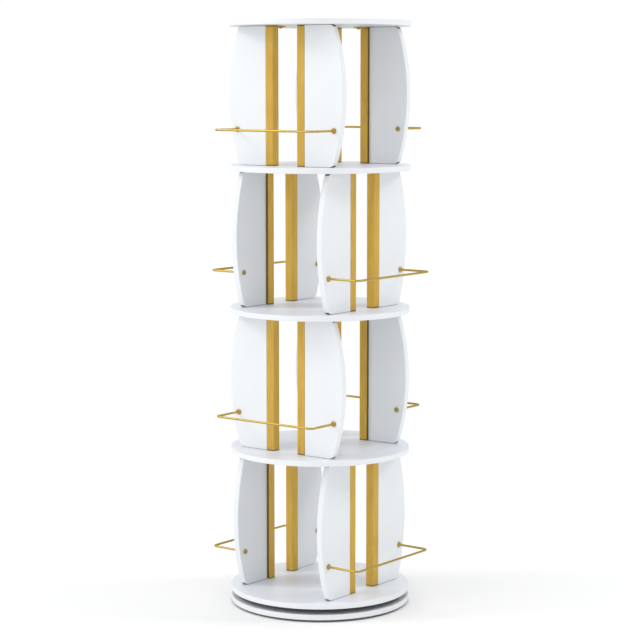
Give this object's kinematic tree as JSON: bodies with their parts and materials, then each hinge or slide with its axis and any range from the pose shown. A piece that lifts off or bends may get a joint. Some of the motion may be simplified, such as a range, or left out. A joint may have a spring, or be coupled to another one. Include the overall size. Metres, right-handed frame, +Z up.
{
  "type": "revolving bookcase",
  "caption": "Tall round revolving bookcase: white disc shelves and bulged half boards, gold posts and U-shaped rails, turning on a ball bearing over a fixed base plate.",
  "frame": {"origin": "on the floor, on the vertical axis that the shelves turn about", "axes": "+Z up along that axis; +X and +Y are the outward directions of the rails, those of the lowest tier along X"},
  "size_m": [0.4114, 0.4114, 1.297],
  "materials": {
    "white_panels": "white satin lacquer on fibreboard",
    "gold_posts": "satin gold lacquer on wood",
    "gold_rails": "bright gold plating",
    "bearing_races": "zinc plated",
    "ball_cage": "plain, greased",
    "screws": "blackened",
    "feet": "matt"
  },
  "bodies": {
    "base": {"base_plate": "white_panels", "base_screw_1": "screws", "base_screw_2": "screws", "base_screw_3": "screws", "foot_1": "feet", "foot_2": "feet", "foot_3": "feet", "foot_4": "feet", "lower_race": "bearing_races"},
    "carousel": {"base_shelf": "white_panels", "board_1_left_back": "white_panels", "board_1_left_front": "white_panels", "board_1_right_back": "white_panels", "board_1_right_front": "white_panels", "board_2_back_left": "white_panels", "board_2_back_right": "white_panels", "board_2_front_left": "white_panels", "board_2_front_right": "white_panels", "board_3_left_back": "white_panels", "board_3_left_front": "white_panels", "board_3_right_back": "white_panels", "board_3_right_front": "white_panels", "board_4_back_left": "white_panels", "board_4_back_right": "white_panels", "board_4_front_left": "white_panels", "board_4_front_right": "white_panels", "lower_shelf": "white_panels", "middle_shelf": "white_panels", "post_1_left_back": "gold_posts", "post_1_left_front": "gold_posts", "post_1_right_back": "gold_posts", "post_1_right_front": "gold_posts", "post_2_back_left": "gold_posts", "post_2_back_right": "gold_posts", "post_2_front_left": "gold_posts", "post_2_front_right": "gold_posts", "post_3_left_back": "gold_posts", "post_3_left_front": "gold_posts", "post_3_right_back": "gold_posts", "post_3_right_front": "gold_posts", "post_4_back_left": "gold_posts", "post_4_back_right": "gold_posts", "post_4_front_left": "gold_posts", "post_4_front_right": "gold_posts", "rail_1_left": "gold_rails", "rail_1_right": "gold_rails", "rail_2_back": "gold_rails", "rail_2_front": "gold_rails", "rail_3_left": "gold_rails", "rail_3_right": "gold_rails", "rail_4_back": "gold_rails", "rail_4_front": "gold_rails", "shelf_screw_1": "screws", "shelf_screw_2": "screws", "shelf_screw_3": "screws", "top_panel": "white_panels", "upper_race": "bearing_races", "upper_shelf": "white_panels"},
    "ball_cage": {"ball_cage": "ball_cage"}
  },
  "joints": [
    {"name": "carousel_spin", "type": "hinge", "parent": "base", "child": "carousel", "pos_m": [0, 0, 0.023], "axis": [0, 0, 1], "continuous": true},
    {"name": "cage_spin", "type": "hinge", "parent": "base", "child": "ball_cage", "pos_m": [0, 0, 0.023], "axis": [0, 0, 1], "continuous": true}
  ],
  "couplings": [
    {"joint": "cage_spin", "follows": "carousel_spin", "ratio": 0.5}
  ]
}
